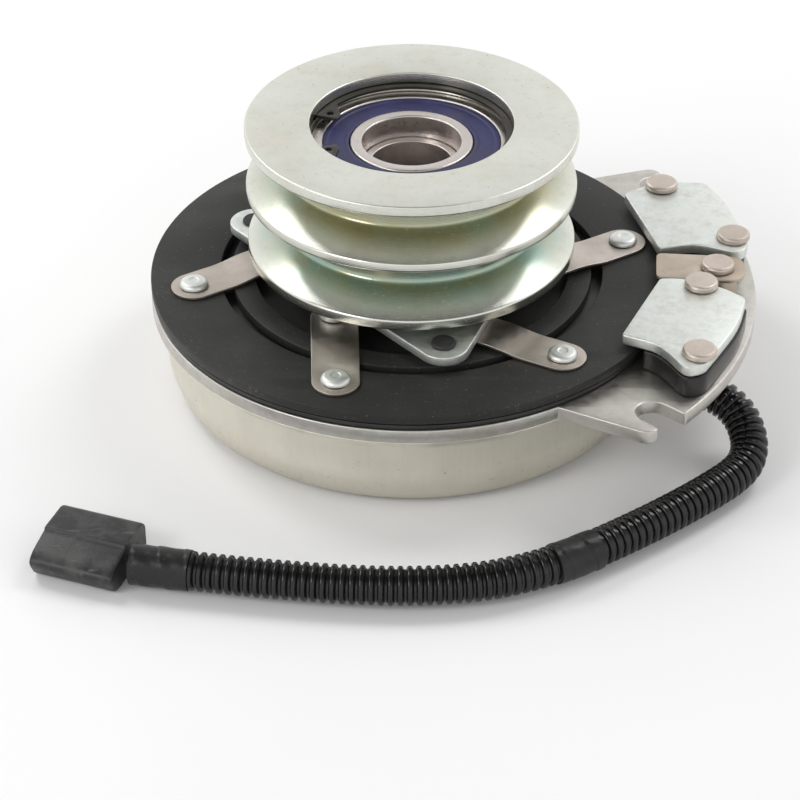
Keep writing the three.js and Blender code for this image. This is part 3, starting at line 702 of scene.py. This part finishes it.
# %% [markdown]
# ## Leaf straps
# Each strap is a flat spring, riveted to the armature at one end and to the drive plate
# at the other. It steps up between them.
# %% Leaf straps
STRAP_HALF = 8.3
BEND_START = 11
BEND_RUN = 15
BEND_CUTS = 8


def strap_mesh(name, outer, inner):
    along = Vector(inner) - Vector(outer)
    turn = math.degrees(math.atan2(along.y, along.x))
    length = along.length
    outline = arc(STRAP_HALF, 90, 270, 24) + arc(STRAP_HALF, -90, 90, 24, (length, 0))
    steps = 20
    sides = [(length * k / steps, -STRAP_HALF) for k in range(1, steps)]
    back = [(length * (1 - k / steps), STRAP_HALF) for k in range(1, steps)]
    outline = outline[:25] + sides + outline[25:] + back
    flat = sheet_mesh(name, [outline, drill(RIVET_HOLE, (0, 0)), drill(RIVET_HOLE, (length, 0))], 0, 1, 0.18)
    bm = bmesh.new()
    bm.from_mesh(flat)
    for k in range(BEND_CUTS + 1):
        cut = BEND_START + k * BEND_RUN / BEND_CUTS
        geometry = bm.verts[:] + bm.edges[:] + bm.faces[:]
        bmesh.ops.bisect_plane(bm, geom=geometry, plane_co=(cut * MM, 0, 0), plane_no=(1, 0, 0))
    seat = low("leaf_strap_1")
    lift = high("leaf_strap_1") - seat - 1
    for vert in bm.verts:
        share = min(max((vert.co.x / MM - BEND_START) / BEND_RUN, 0), 1)
        vert.co.z += (seat + lift * share * share * (3 - 2 * share)) * MM
    place = Matrix.Translation((outer[0] * MM, outer[1] * MM, 0))
    matrix = place @ Matrix.Rotation(math.radians(turn), 4, "Z")
    bmesh.ops.transform(bm, matrix=matrix, verts=bm.verts)
    return finished(name, bm)


for number, (outer_end, inner_end) in enumerate(zip(OUTER_ENDS, INNER_ENDS), start=1):
    name = f"leaf_spring_{number}"
    strap = link(name, strap_mesh(name, outer_end, inner_end), "strap")
    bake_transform(strap)
    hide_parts(f"leaf_strap_{number}")
print("straps", STRAPS)

# %% [markdown]
# ## Rivets and bumpers
# What repeats round the shaft is one turned solid, set on a ring of points by Geometry
# Nodes. The tree realises its instances, so the result is a plain mesh for one body.
# %% A ring of copies


def ring_tree(material):
    tree = bpy.data.node_groups.new("ring_of_copies", "GeometryNodeTree")
    kinds = {"Geometry": "Geometry", "Count": "Int", "Ring radius": "Float", "First angle": "Float"}
    for name, kind in kinds.items():
        tree.interface.new_socket(name, in_out="INPUT", socket_type=f"NodeSocket{kind}")
    tree.interface.new_socket("Geometry", in_out="OUTPUT", socket_type="NodeSocketGeometry")
    start = tree.nodes.new("NodeGroupInput")
    end = tree.nodes.new("NodeGroupOutput")
    points = tree.nodes.new("GeometryNodeMeshCircle")
    turn = tree.nodes.new("GeometryNodeTransform")
    angle = tree.nodes.new("ShaderNodeCombineXYZ")
    copies = tree.nodes.new("GeometryNodeInstanceOnPoints")
    real = tree.nodes.new("GeometryNodeRealizeInstances")
    paint = tree.nodes.new("GeometryNodeSetMaterial")
    paint.inputs["Material"].default_value = material
    wires = [(start, "Count", points, "Vertices"), (start, "Ring radius", points, "Radius"),
             (start, "First angle", angle, "Z"), (points, "Mesh", turn, "Geometry"),
             (angle, 0, turn, "Rotation"), (turn, 0, copies, "Points"),
             (start, "Geometry", copies, "Instance"), (copies, 0, real, 0),
             (real, 0, paint, "Geometry"), (paint, 0, end, 0)]
    for source, output, target, socket in wires:
        tree.links.new(source.outputs[output], target.inputs[socket])
    return tree


def ring_of(name, profile, ends, material, body, slot, nodes, around=40):
    """One turned solid, copied to every end on a ring about the shaft."""
    seed = link(name + "_seed", turned_mesh(name, profile, 0.35, around), material)
    modifier = seed.modifiers.new("ring", "NODES")
    modifier.node_group = ring_tree(MATERIALS[material])
    values = {"Count": len(ends), "Ring radius": math.hypot(*ends[0]) * MM,
              "First angle": math.atan2(ends[0][1], ends[0][0])}
    for item in modifier.node_group.interface.items_tree:
        if item.name in values and item.in_out == "INPUT":
            modifier[item.identifier] = values[item.name]
    mesh = realised(seed)
    mesh.name = name
    return add(name, mesh, material, body, slot, *nodes)


def outer_rivet_profile():
    bottom, top = low("outer_rivet_1"), high("outer_rivet_1")
    seat = high("armature_disc") + 1.5
    return [(0, bottom), (2.4, bottom), (2.4, seat), (5.2, seat, 0.2), (5.15, seat + 0.9, 0.4),
            (4.3, top - 0.25, 0.6), (2.6, top - 0.05, 0.8), (1.9, top, 0.3), (1.5, top - 0.18, 0.3),
            (0, top - 0.2)]


def inner_rivet_profile():
    bottom, top = low("inner_rivet_1"), high("inner_rivet_1")
    under, over = bottom + 1.1, high("drive_plate") + 0.25
    return [(0, bottom), (3.6, bottom), (3.8, under), (2.4, under), (2.4, over), (4.3, over),
            (3.9, over + 1.3), (0, top)]


def bumper_profile():
    plate_low, plate_top = low("drive_plate"), high("drive_plate")
    return [(0, low("bumper_1")), (4.2, low("bumper_1")), (4.6, plate_low - 0.25), (3.4, plate_low - 0.25),
            (3.4, plate_top + 0.25), (4.5, plate_top + 0.25), (3.9, plate_top + 1.2), (0, high("bumper_1"))]


def numbered(prefix, count):
    return [f"{prefix}_{i + 1}" for i in range(count)]


ring_of("outer_rivets", outer_rivet_profile(), OUTER_ENDS, "rivet_zinc", "armature", "zinc",
        numbered("outer_rivet", STRAPS))
ring_of("inner_rivets", inner_rivet_profile(), INNER_ENDS, "strap", "pulley", "zinc",
        numbered("inner_rivet", STRAPS))
ring_of("lobe_bumpers", bumper_profile(), LOBE_ENDS, "rubber", "pulley", "rubber",
        numbered("bumper", LOBES))
print("rivets and bumpers made")

# %% [markdown]
# ## Field shell and mounting plate
# The shell is deep drawn: a lip under the plate, a wall that leans in a little, a shallow
# step near its foot and a round bottom corner. The plate caps it and grows a slotted bracket.
# %% Field shell
SHELL_TOP = high("field_shell")
WALL = ARMATURE_R - 3.9


def shell_outline():
    seat = BEARING_R + 0.15
    clip = low("field_snap_ring") - 0.2
    return [
        (ARMATURE_R - 0.5, SHELL_TOP, 0.3), (ARMATURE_R - 0.5, SHELL_TOP - 1.7, 0.9),
        (WALL, SHELL_TOP - 2.4, 0.8),
        (WALL - 0.5, 18, 3), (WALL - 1.1, 12.5, 1.2), (WALL - 1.9, 9.5, 1.5), (WALL - 3.4, 5, 2),
        (WALL - 5.8, 2.1, 1.8), (WALL - 9.3, 0.5, 2), (WALL - 13.8, 0, 3), (seat - 3.2, 0, 0.8),
        (seat - 3.2, 1.8),
        (seat, 1.8), (seat, clip), (seat + 1.45, clip), (seat + 1.45, clip + 1.7), (seat, clip + 1.7),
        (seat, clip + 4.5), (BEARING_R + 2.7, clip + 4.5), (BEARING_R + 2.7, 3), (WALL - 7.8, 3, 2),
        (WALL - 4.6, 6, 2), (WALL - 3.4, 14, 3), (WALL - 3.2, SHELL_TOP)]


add("field_shell_drawn", turned_mesh("field_shell_drawn", shell_outline(), 0.3, 192), "shell", "field",
    "satin_steel", "field_shell")
BRACKET_TURN = -4.5
BRACKET_R = ARMATURE_R + 30.8
COVER_TURN = 19.25
COVER_RIVETS = ((8.7, 21.7), (22.1, -19.7))
STRAP_RIVET_R = ARMATURE_R + 16.2
TIP_EASE = 3.4


def torque_slot(side):
    """An open slot: a round back, then two straight walls that run out past the rim."""
    turn = side * 37
    back = arc(6.1, turn + 90, turn + 270, 20, polar(BRACKET_R - 8.5, side * 40.6))
    return [*back, polar(14, turn, back[-1]), polar(14, turn, back[0])]


def cut_rim(outline, slot):
    """The outline with an open slot let into it: points inside the slot give way to its wall."""
    start, end = Vector(slot[0]), Vector(slot[-3])
    axis = (Vector(slot[-2]) - end).normalized()
    side = Vector((-axis.y, axis.x))
    middle = (start + end) / 2
    half = (start - end).length / 2
    spots = [Vector(p[:2]) - middle for p in outline]
    reach = [abs(spot.dot(side)) <= half and spot.dot(axis) > 0 for spot in spots]
    first = reach.index(True)
    last = len(reach) - 1 - reach[::-1].index(True)
    wall = slot[:-2]

    def rim_point(base):
        base = Vector(base)
        along = base.dot(axis)
        return base + axis * (-along + math.sqrt(along * along - base.length_squared + BRACKET_R ** 2))

    ends = [rim_point(wall[0]), rim_point(wall[-1])]
    before = Vector(outline[first - 1][:2])
    if (ends[0] - before).length > (ends[1] - before).length:
        wall, ends = wall[::-1], ends[::-1]
    return outline[:first] + [(*ends[0], TIP_EASE), *wall, (*ends[1], TIP_EASE)] + outline[last + 1:]


def plate_outline():
    outline = [(*polar(BRACKET_R - 1.2, -45.6), TIP_EASE), *arc(BRACKET_R, -43, 43, 28),
               (*polar(BRACKET_R - 1.2, 45.6), TIP_EASE), *arc(ARMATURE_R, 53.5, 306.5, 200)]
    for side in (1, -1):
        outline = cut_rim(outline, torque_slot(side))
    return eased(outline, 0)


def rivet_place(turn, out, along):
    reach = math.hypot(ARMATURE_R + out, along)
    return polar(reach, turn + math.degrees(math.atan2(along, ARMATURE_R + out)))


def plate_mesh():
    drills = [drill(BROAD_HOLE, rivet_place(side * COVER_TURN, *spot))
              for side in (1, -1) for spot in COVER_RIVETS]
    drills.append(drill(BROAD_HOLE, (STRAP_RIVET_R, 0)))
    outlines = [plate_outline(), circle(ARMATURE_R - 6.7, count=200), *drills]
    return sheet_mesh("plate", outlines, low("mounting_plate"), high("mounting_plate"), 0.5, BRACKET_TURN)


add("mounting_plate_blank", plate_mesh(), "plate", "field", "satin_steel", "mounting_plate")
print("field made")

# %% [markdown]
# ## Brake plates
# Two thick zinc plates stand on black blocks, each held by two broad flat rivets. A thin
# strap of tan steel sits between them on a round bush. The armature rises against them.
# %% Brake plates


def cover_outline(inset=0.0, innermost=-9.0):
    inner = max(-6.4 + inset, innermost)
    corners = [
        (inner, -19.5 + inset, 1.2), (inner, 20.5 - inset, 1.2), (max(1.5, inner + 1.5), 24 - inset, 4),
        (15.5, 24 - inset, 5), (25.9 - inset, 20.5, 2.5), (28.6 - inset, 4, 9), (27.2 - inset, -14, 6),
        (26 - inset, -26 + inset, 3), (20.8, -30.5 + inset, 5), (12.5, -23.5 + inset, 4),
        (6.5, -19.8 + inset, 4)]
    return eased([(ARMATURE_R + out, along, ease) for out, along, ease in corners], 2, 8)


def brake_set(side, turn, block_inset):
    drills = [drill(BROAD_HOLE, (ARMATURE_R + out, along)) for out, along in COVER_RIVETS]
    angle = BRACKET_TURN + turn
    cover, block = f"brake_cover_{side}", f"brake_block_{side}"
    mesh = sheet_mesh(cover, [cover_outline(), *drills], low(cover), high(cover), 0.55, angle)
    add(f"{cover}_plate", mesh, "zinc", "field", "zinc", cover)
    mesh = sheet_mesh(block, [cover_outline(block_inset, 1.9), *drills], low(block), high(block), 0.5, angle)
    add(f"{block}_moulded", mesh, "block", "field", "black_plastic", block)


brake_set("rear", COVER_TURN, 0.6)
brake_set("front", -COVER_TURN, -0.8)
STRAP_SIDE = 8.2
STRAP_OUT = ARMATURE_R + 26
STRAP_IN = ARMATURE_R - 5.9
strap_box = [(STRAP_IN, -STRAP_SIDE, 2.5), (STRAP_OUT, -STRAP_SIDE, 7), (STRAP_OUT, STRAP_SIDE, 7),
             (STRAP_IN, STRAP_SIDE, 2.5)]
strap_outlines = [eased(strap_box, 3.5, 8), drill(BROAD_HOLE, (STRAP_RIVET_R, 0))]
strap_sheet = sheet_mesh("centre_strap_sheet", strap_outlines, low("centre_strap"), high("centre_strap"),
                         0.3, BRACKET_TURN)
add("centre_strap_sheet", strap_sheet, "tan", "field", "tan_steel", "centre_strap")

# %% [markdown]
# The broad rivets share one profile: a flat head with a turned edge and a faint ring,
# on a shank that ends under the plate.
# %% Broad rivets


def place_mesh(mesh, at):
    mesh.transform(Matrix.Translation((at[0] * MM, at[1] * MM, 0)))
    return mesh


def broad_rivet(node):
    bottom, top = low(node), high(node)
    seat = top - 2.3
    profile = [(0, bottom), (3, bottom), (3, seat), (6, seat, 0.2), (6, seat + 1.55, 0.35), (5.35, top, 0.5),
               (0, top)]
    mesh = place_mesh(turned_mesh(node, profile, 0.3, 64), centre(node))
    add(f"{node}_headed", mesh, "nickel", "field", "nickel", node)


for side in ("rear", "front"):
    for number in (1, 2):
        broad_rivet(f"cover_rivet_{side}_{number}")
broad_rivet("centre_strap_rivet")
BUSH_R = 7.4
bush_low, bush_high = low("centre_strap_bush"), high("centre_strap_bush")
bush_profile = [(3.5, bush_low), (BUSH_R, bush_low), (BUSH_R, bush_high), (3.5, bush_high)]
bush = place_mesh(turned_mesh("bush", bush_profile, 0.4, 64), centre("centre_strap_bush"))
add("centre_strap_bush_turned", bush, "tan", "field", "tan_steel", "centre_strap_bush")
print("brake plates made")

# %% [markdown]
# ## The lead
# Two wires leave the shell in a split corrugated loom, kept just inside the frame's 14 mm
# tube. It drops to the table, runs round the front and ends in a two-way connector.
# %% Loom route
REST = 7.4
ROUTE = [
    (87.7, -39, 21), (93, -41.4, 21), (98.7, -43.9, 21), (104.5, -46.4, 20.8), (110.5, -49.4, 19.6),
    (115.4, -53.6, 17), (118.4, -59.4, 13.4), (118.9, -66, 10.2), (116.6, -72.6, 8.2), (111.8, -78.8, REST),
    (105, -85.6, REST), (96.5, -93.2, REST), (86, -101.8, REST), (76, -109.4, REST), (65.5, -116.9, REST),
    (54, -124.4, REST), (42, -130.6, REST), (28.5, -135.6, REST), (14, -138.4, REST), (-2, -139.4, REST),
    (-20, -138.8, REST), (-38, -137, REST), (-56, -134.6, REST), (-74, -131.6, REST), (-92.6, -128.2, REST)]
LOOM_R = 6.64
TAPE_R = 6.82
RIB_PITCH = 3.15
RIB_DEPTH = 1.15


def smooth_route(points, per_span=40):
    """A centripetal curve through the route's points, as finely spaced points in millimetres."""
    knots = [Vector(p) for p in points]
    ends = [knots[0] * 2 - knots[1], *knots, knots[-1] * 2 - knots[-2]]
    path = []
    for a, b, c, d in zip(ends, ends[1:], ends[2:], ends[3:]):
        ts = [0.0]
        for one, two in ((a, b), (b, c), (c, d)):
            ts.append(ts[-1] + math.sqrt((two - one).length))
        for k in range(per_span):
            t = ts[1] + (ts[2] - ts[1]) * k / per_span
            first = [p * ((ts[i + 1] - t) / (ts[i + 1] - ts[i])) + q * ((t - ts[i]) / (ts[i + 1] - ts[i]))
                     for i, (p, q) in enumerate(((a, b), (b, c), (c, d)))]
            second = [first[i] * ((ts[i + 2] - t) / (ts[i + 2] - ts[i]))
                      + first[i + 1] * ((t - ts[i]) / (ts[i + 2] - ts[i])) for i in (0, 1)]
            share = (t - ts[1]) / (ts[2] - ts[1])
            path.append(second[0] * (1 - share) + second[1] * share)
    path.append(knots[-1])
    return path


PATH = smooth_route(ROUTE)
LENGTHS = [0.0]
for one, two in zip(PATH, PATH[1:]):
    LENGTHS.append(LENGTHS[-1] + (two - one).length)
LOOM_LENGTH = LENGTHS[-1]
print("loom length, mm", round(LOOM_LENGTH, 1))


def at_length(distance):
    """The point and the direction of the route at a distance along it."""
    distance = min(max(distance, 0), LOOM_LENGTH)
    i = next((k for k, run in enumerate(LENGTHS[1:]) if run >= distance), len(LENGTHS) - 2)
    share = (distance - LENGTHS[i]) / (LENGTHS[i + 1] - LENGTHS[i])
    return PATH[i].lerp(PATH[i + 1], share), (PATH[i + 1] - PATH[i]).normalized()


def tube_mesh(name, start, end, step, radius, around):
    """A tube along the route whose radius is given for each distance and angle, closed at its ends."""
    bm = bmesh.new()
    rings = []
    count = max(2, round((end - start) / step))
    for k in range(count + 1):
        distance = start + (end - start) * k / count
        point, ahead = at_length(distance)
        side = ahead.cross(Vector((0, 0, 1))).normalized()
        up = side.cross(ahead)
        row = []
        for i in range(around):
            angle = 2 * math.pi * i / around
            reach = radius(distance, angle)
            row.append(bm.verts.new((point + (side * math.cos(angle) + up * math.sin(angle)) * reach) * MM))
        rings.append(row)
    for before, after in zip(rings, rings[1:]):
        for i in range(around):
            j = (i + 1) % around
            bm.faces.new((before[i], before[j], after[j], after[i]))
    bm.faces.new(rings[0][::-1])
    bm.faces.new(rings[-1])
    return finished(name, bm)


SEAM = math.radians(68)


def ribbed(distance, angle):
    """Square-shouldered ribs round the loom, broken along its length by the split."""
    wave = math.sin(2 * math.pi * distance / RIB_PITCH) + 0.25
    rib = max(-1, min(1, wave * 3))
    off = math.atan2(math.sin(angle - SEAM), math.cos(angle - SEAM))
    split = 0.9 * math.exp(-(off / 0.07) ** 2) - 0.2 * math.exp(-((off - 0.2) / 0.1) ** 2)
    return LOOM_R - RIB_DEPTH * (1 - rib) / 2 - split


def wound(distance, angle):
    """Tape wound on a slant: each turn steps over the last, and the edge of a turn shows."""
    turn = (distance / 9.0 + angle / (2 * math.pi)) % 1
    return TAPE_R + 0.26 * turn + 0.06 * math.sin(5 * angle + distance * 0.9)


tube = tube_mesh("loom", 0.2, LOOM_LENGTH - 0.4, 0.35, ribbed, 72)
loom = add("loom", tube, "loom", "field", "loom_plastic", "loom_upper", "loom_lower", angle=50)
TAPES = {"loom_mid_tape": (0.443, 0.501), "loom_end_tape": (0.93, 1.0)}
for node, (start, end) in TAPES.items():
    mesh = tube_mesh(node, start * LOOM_LENGTH, end * LOOM_LENGTH, 0.45, wound, 64)
    add(f"{node}_wound", mesh, "tape", "field", "tape", node, angle=25)
print("loom and tapes made")

# %% [markdown]
# ## Connector
# The two-way housing is a long block in two levels. A crease runs along it between the
# higher half and the lower one, which rolls over to an undercut side.
# %% Connector
CONNECTOR_TURN = math.radians(160)
HOUSING = (30, 29, 13)
HOUSING_STEP = 4


def housing_section():
    """The block's cross-section, across and up, in millimetres: the far side first."""
    _, width, height = HOUSING
    half = width / 2
    shelf = height - HOUSING_STEP
    return eased([(-half, 0.6, 1), (-half, height - 2.2, 1.2), (-half + 2.4, height, 1.2), (0.9, height, 0.9),
                  (1.5, height - 1.1, 0.35), (2.3, height - 1.2, 0.5), (half - 3.2, shelf + 0.6, 2.5),
                  (half, shelf - 1.8, 2), (half - 3.5, 0, 2.5), (-half + 0.6, 0, 0.8)], 0.5)


def housing_mesh():
    """The section swept along the block, drawn in a little at both ends, with a hollow mouth."""
    length, _, height = HOUSING
    section = housing_section()
    middle = Vector((0, height / 2))
    stations = [(0, 0.80), (0, 0.965), (0.35, 0.99), (0.9, 1), (length * 0.5, 1), (length - 0.9, 1),
                (length - 0.3, 0.99), (length, 0.965), (length, 0.86), (length - 6, 0.84)]
    bm = bmesh.new()
    rings = []
    for along, size in stations:
        row = [middle + (point - middle) * size for point in section]
        rings.append([bm.verts.new((along * MM, p.x * MM, p.y * MM)) for p in row])
    for before, after in zip(rings, rings[1:]):
        for i in range(len(section)):
            j = (i + 1) % len(section)
            bm.faces.new((before[i], before[j], after[j], after[i]))
    bm.faces.new(rings[0])
    bm.faces.new(rings[-1])
    return finished("connector", bm)


def housing_place(mesh):
    lower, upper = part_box("connector_housing")
    local = Matrix.Rotation(CONNECTOR_TURN, 4, "Z")
    middle = Vector(((lower.x + upper.x) / 2, (lower.y + upper.y) / 2, lower.z))
    own = local @ Vector((HOUSING[0] / 2 * MM, 0, 0))
    mesh.transform(Matrix.Translation(middle - own) @ local)
    return mesh


add("connector_moulded", housing_place(housing_mesh()), "housing", "field", "grey_plastic",
    "connector_housing")
[tuple(p * MM) for p in PATH[::10]]
print("connector made")

# %% [markdown]
# ## Small carried-over parts
# The coil, the balls, the terminals and the grommet keep their solids, because little or
# nothing of them shows. Each only gets a better finish.
# %% Carried-over parts
CARRIED = {"coil": "potting", "field_bearing_balls": "steel", "pulley_bearing_balls": "steel",
           "connector_terminal_1": "brass", "connector_terminal_2": "brass", "wire_grommet": "rubber"}
for node, material in CARRIED.items():
    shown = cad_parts[node]
    shown.data.materials.clear()
    shown.data.materials.append(MATERIALS[material])
print("carried over", len(CARRIED))

# %% [markdown]
# ## Studio
# A pale flat floor, two soft lights high behind the shoulders of the object and one in
# front. The world is white round the horizon and dimmer overhead.
# %% Studio


def plain_floor():
    finish = Finish("floor_pale", Roughness=0.6)
    tone = finish.ramp(finish.noise(3, 2), 0.3, 0.7)
    finish.feed(Base_Color=finish.mix(tone, (0.86, 0.86, 0.86), (0.90, 0.90, 0.90)))
    bm = bmesh.new()
    reach = 12
    corners = ((-reach, -reach), (reach, -reach), (reach, reach), (-reach, reach))
    bm.faces.new([bm.verts.new((x, y, -0.0002)) for x, y in corners])
    mesh = bpy.data.meshes.new("floor")
    bm.to_mesh(mesh)
    bm.free()
    mesh.materials.append(finish.material)
    floor = bpy.data.objects.new("floor", mesh)
    bpy.context.scene.collection.objects.link(floor)


def soft_light(name, place, aim, size, power):
    data = bpy.data.lights.new(name, "AREA")
    data.energy = power
    data.shape = "RECTANGLE"
    data.size, data.size_y = size
    light = bpy.data.objects.new(name, data)
    light.location = place
    light.rotation_euler = (Vector(aim) - Vector(place)).to_track_quat("-Z", "Y").to_euler()
    bpy.context.scene.collection.objects.link(light)


def studio_world():
    """White low down all round and dim overhead, so that turned metal shows its lobes of light."""
    world = bpy.data.worlds.new("studio")
    world.use_nodes = True
    tree = world.node_tree
    place = tree.nodes.new("ShaderNodeTexCoord")
    split = tree.nodes.new("ShaderNodeSeparateXYZ")
    shade = tree.nodes.new("ShaderNodeMapRange")
    for name, value in {"From Min": 0.5, "From Max": 0.96, "To Min": 1.14, "To Max": 0.14}.items():
        shade.inputs[name].default_value = value
    tree.nodes["Background"].inputs["Color"].default_value = (1, 1, 1, 1)
    tree.links.new(place.outputs["Generated"], split.inputs[0])
    tree.links.new(split.outputs["Z"], shade.inputs["Value"])
    tree.links.new(shade.outputs[0], tree.nodes["Background"].inputs["Strength"])
    bpy.context.scene.world = world


plain_floor()
studio_world()
soft_light("high_left", (-0.62, 0.45, 1.0), (0, 0, 0.05), (0.36, 0.50), 3.4)
soft_light("high_right", (0.62, 0.45, 1.0), (0, 0, 0.05), (0.36, 0.50), 3.4)
soft_light("front_left", (-0.9, -0.8, 0.9), (0, 0, 0.05), (0.5, 0.5), 4.5)
bpy.context.scene.view_settings.view_transform = "Standard"
print("studio ready")
